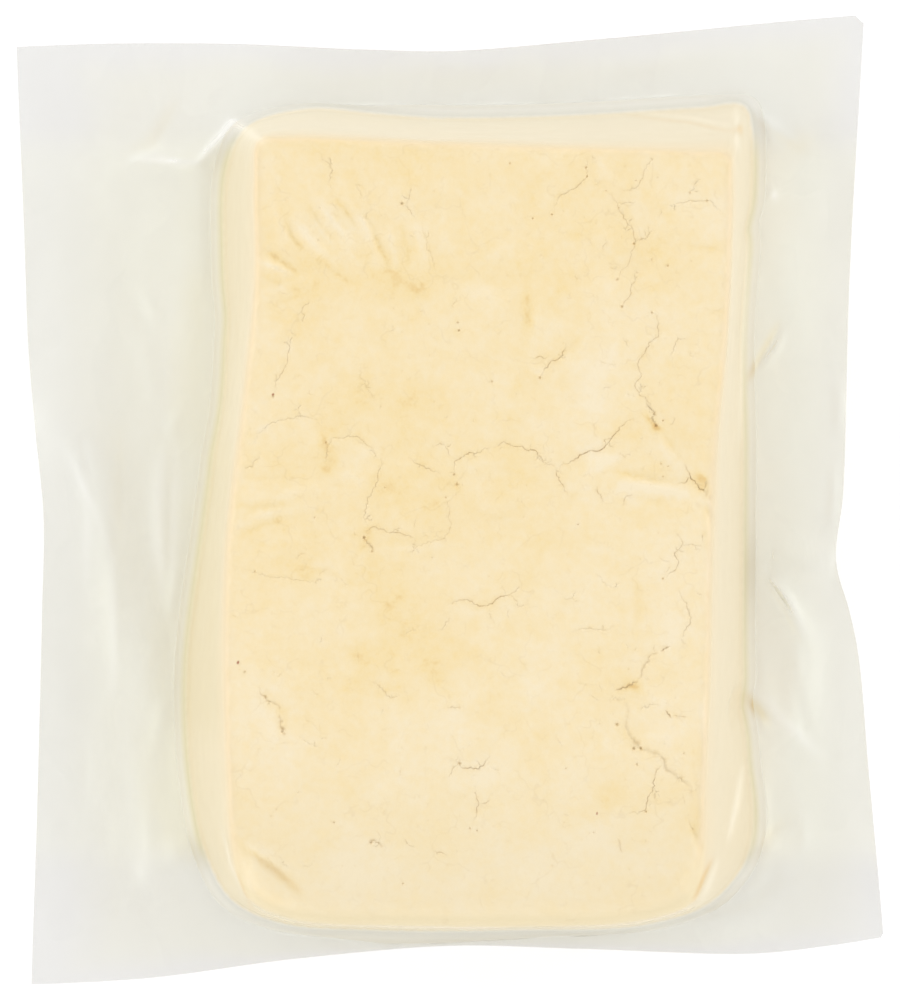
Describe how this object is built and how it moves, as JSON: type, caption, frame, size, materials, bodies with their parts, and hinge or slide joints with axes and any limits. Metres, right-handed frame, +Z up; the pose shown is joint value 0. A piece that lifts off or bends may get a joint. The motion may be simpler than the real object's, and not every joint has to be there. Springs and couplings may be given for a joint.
{
  "type": "vacuum packed tofu block",
  "caption": "Pressed tofu block with rounded corners, held tight in a clear film pouch with a flat wavy seam margin all round.",
  "frame": {"origin": "bottom centre of the whole pack: the middle of the pouch's outline, at the level of the flat underside", "axes": "+Z up through the block, +Y along the long side of the block and pouch, +X across to the right"},
  "size_m": [0.1442, 0.1612, 0.0383],
  "materials": {
    "pouch_film": "clear soft film, slightly hazy, glossy, with fine creases",
    "tofu": "cream pressed curd with fine cracks, moist under the film"
  },
  "bodies": {
    "root": {"vacuum_pack": "pouch_film"}
  },
  "joints": []
}
